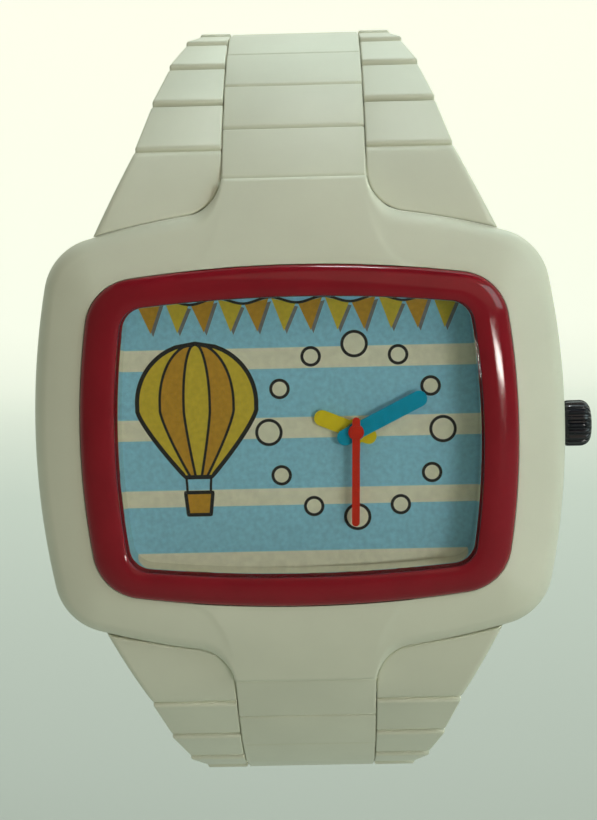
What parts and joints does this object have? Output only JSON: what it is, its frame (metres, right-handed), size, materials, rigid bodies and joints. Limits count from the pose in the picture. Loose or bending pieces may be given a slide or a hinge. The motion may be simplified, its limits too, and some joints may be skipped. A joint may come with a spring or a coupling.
{
  "type": "wristwatch",
  "caption": "Analogue wristwatch with a white pillow-shaped plastic case, red bezel frame, striped dial, knurled crown and a tapering link bracelet closed by a folding clasp.",
  "frame": {"origin": "middle of the outer face of the case back, where the wrist touches it", "axes": "+X to 3 o'clock and the crown, +Y out of the case back into the wrist loop, +Z to 12 o'clock; the dial faces -Y"},
  "size_m": [0.0467, 0.0553, 0.0712],
  "materials": {
    "white_plastic": "satin moulded plastic",
    "red_gloss": "glossy moulded plastic",
    "crystal": "clear and polished",
    "dial_print": "matt printed card on metal",
    "steel": "brushed",
    "rubber": "matt",
    "movement_plastic": "matt moulded plastic",
    "board": "lacquered board",
    "copper": "wound copper wire",
    "brass": "turned",
    "hand_yellow": "matt paint",
    "hand_blue": "matt paint",
    "hand_red": "matt paint",
    "crown_black": "glossy moulded plastic"
  },
  "bodies": {
    "head": {"case_body": "white_plastic", "bezel_ring": "red_gloss", "crystal": "crystal", "dial": "dial_print", "case_back": "steel", "case_back_gasket": "rubber", "case_back_screws": "steel", "movement_holder": "movement_plastic", "main_plate": "movement_plastic", "circuit_board": "board", "motor_coil": "copper", "battery": "steel", "end_link_pins": "steel", "upper_end_link": "white_plastic", "lower_end_link": "white_plastic"},
    "hour": {"hour_hand": "hand_yellow", "hour_wheel": "brass"},
    "minute": {"minute_hand": "hand_blue", "minute_wheel": "brass"},
    "second": {"second_hand": "hand_red", "second_arbor": "steel"},
    "stem": {"stem": "steel", "crown_seal": "rubber"},
    "crown": {"crown": "crown_black"},
    "upper_1": {"upper_link_1": "white_plastic", "upper_pin_1": "steel"},
    "upper_2": {"upper_link_2": "white_plastic", "upper_pin_2": "steel"},
    "upper_3": {"upper_link_3": "white_plastic", "upper_pin_3": "steel"},
    "upper_4": {"upper_link_4": "white_plastic", "upper_pin_4": "steel"},
    "upper_5": {"upper_link_5": "white_plastic", "upper_pin_5": "steel"},
    "upper_6": {"upper_link_6": "white_plastic", "upper_pin_6": "steel"},
    "upper_7": {"upper_link_7": "white_plastic", "upper_pin_7": "steel"},
    "upper_8": {"upper_link_8": "white_plastic", "upper_pin_8": "steel"},
    "lower_1": {"lower_link_1": "white_plastic", "lower_pin_1": "steel"},
    "lower_2": {"lower_link_2": "white_plastic", "lower_pin_2": "steel"},
    "lower_3": {"lower_link_3": "white_plastic", "lower_pin_3": "steel"},
    "lower_4": {"lower_link_4": "white_plastic", "lower_pin_4": "steel"},
    "lower_5": {"lower_link_5": "white_plastic", "lower_pin_5": "steel"},
    "lower_6": {"lower_link_6": "white_plastic", "lower_pin_6": "steel"},
    "lower_7": {"lower_link_7": "white_plastic", "lower_pin_7": "steel"},
    "lower_8": {"lower_link_8": "white_plastic", "lower_pin_8": "steel"},
    "clasp_base": {"clasp_base": "steel"},
    "clasp_middle": {"clasp_middle": "steel", "clasp_hinge_pins": "steel"},
    "clasp_cover": {"clasp_cover": "steel"}
  },
  "joints": [
    {"name": "minute_turn", "type": "hinge", "parent": "head", "child": "minute", "pos_m": [0.0047, 0, 0], "axis": [0, 1, 0], "continuous": true},
    {"name": "hour_turn", "type": "hinge", "parent": "head", "child": "hour", "pos_m": [0.0047, 0, 0], "axis": [0, 1, 0], "continuous": true},
    {"name": "second_turn", "type": "hinge", "parent": "head", "child": "second", "pos_m": [0.0047, 0, 0], "axis": [0, 1, 0], "continuous": true},
    {"name": "stem_pull", "type": "slide", "parent": "head", "child": "stem", "axis": [1, 0, 0], "range_m": [0, 0.001]},
    {"name": "crown_turn", "type": "hinge", "parent": "stem", "child": "crown", "pos_m": [0, -0.0039, 0], "axis": [1, 0, 0], "continuous": true},
    {"name": "upper_hinge_1", "type": "hinge", "parent": "head", "child": "upper_1", "pos_m": [0, -0.00136, 0.02348], "axis": [1, 0, 0], "range_deg": [0, 6]},
    {"name": "upper_hinge_2", "type": "hinge", "parent": "upper_1", "child": "upper_2", "pos_m": [0, 0.00321, 0.02737], "axis": [1, 0, 0], "range_deg": [0, 8.2]},
    {"name": "upper_hinge_3", "type": "hinge", "parent": "upper_2", "child": "upper_3", "pos_m": [0, 0.00828, 0.03057], "axis": [1, 0, 0], "range_deg": [0, 10.4]},
    {"name": "upper_hinge_4", "type": "hinge", "parent": "upper_3", "child": "upper_4", "pos_m": [0, 0.01385, 0.0328], "axis": [1, 0, 0], "range_deg": [0, 12.6]},
    {"name": "upper_hinge_5", "type": "hinge", "parent": "upper_4", "child": "upper_5", "pos_m": [0, 0.01978, 0.03376], "axis": [1, 0, 0], "range_deg": [0, 14.8]},
    {"name": "upper_hinge_6", "type": "hinge", "parent": "upper_5", "child": "upper_6", "pos_m": [0, 0.02575, 0.03317], "axis": [1, 0, 0], "range_deg": [0, 17]},
    {"name": "upper_hinge_7", "type": "hinge", "parent": "upper_6", "child": "upper_7", "pos_m": [0, 0.03129, 0.03087], "axis": [1, 0, 0], "range_deg": [0, 19.2]},
    {"name": "upper_hinge_8", "type": "hinge", "parent": "upper_7", "child": "upper_8", "pos_m": [0, 0.03576, 0.02687], "axis": [1, 0, 0], "range_deg": [0, 21.4]},
    {"name": "lower_hinge_1", "type": "hinge", "parent": "head", "child": "lower_1", "pos_m": [0, -0.00136, -0.02348], "axis": [-1, 0, 0], "range_deg": [0, 6]},
    {"name": "lower_hinge_2", "type": "hinge", "parent": "lower_1", "child": "lower_2", "pos_m": [0, 0.00321, -0.02737], "axis": [-1, 0, 0], "range_deg": [0, 8.2]},
    {"name": "lower_hinge_3", "type": "hinge", "parent": "lower_2", "child": "lower_3", "pos_m": [0, 0.00828, -0.03057], "axis": [-1, 0, 0], "range_deg": [0, 10.4]},
    {"name": "lower_hinge_4", "type": "hinge", "parent": "lower_3", "child": "lower_4", "pos_m": [0, 0.01385, -0.0328], "axis": [-1, 0, 0], "range_deg": [0, 12.6]},
    {"name": "lower_hinge_5", "type": "hinge", "parent": "lower_4", "child": "lower_5", "pos_m": [0, 0.01978, -0.03376], "axis": [-1, 0, 0], "range_deg": [0, 14.8]},
    {"name": "lower_hinge_6", "type": "hinge", "parent": "lower_5", "child": "lower_6", "pos_m": [0, 0.02575, -0.03317], "axis": [-1, 0, 0], "range_deg": [0, 17]},
    {"name": "lower_hinge_7", "type": "hinge", "parent": "lower_6", "child": "lower_7", "pos_m": [0, 0.03129, -0.03087], "axis": [-1, 0, 0], "range_deg": [0, 19.2]},
    {"name": "lower_hinge_8", "type": "hinge", "parent": "lower_7", "child": "lower_8", "pos_m": [0, 0.03576, -0.02687], "axis": [-1, 0, 0], "range_deg": [0, 21.4]},
    {"name": "clasp_base_hinge", "type": "hinge", "parent": "upper_8", "child": "clasp_base", "pos_m": [0, 0.03847, 0.02151], "axis": [1, 0, 0], "range_deg": [0, 20]},
    {"name": "clasp_middle_hinge", "type": "hinge", "parent": "clasp_base", "child": "clasp_middle", "pos_m": [0, 0.04059, -0.01382], "axis": [-1, 0, 0], "range_deg": [0, 110]},
    {"name": "clasp_cover_hinge", "type": "hinge", "parent": "clasp_middle", "child": "clasp_cover", "pos_m": [0, 0.04121, 0.01355], "axis": [1, 0, 0], "range_deg": [0, 95]}
  ],
  "couplings": [
    {"joint": "hour_turn", "follows": "minute_turn", "ratio": 0.083333}
  ]
}
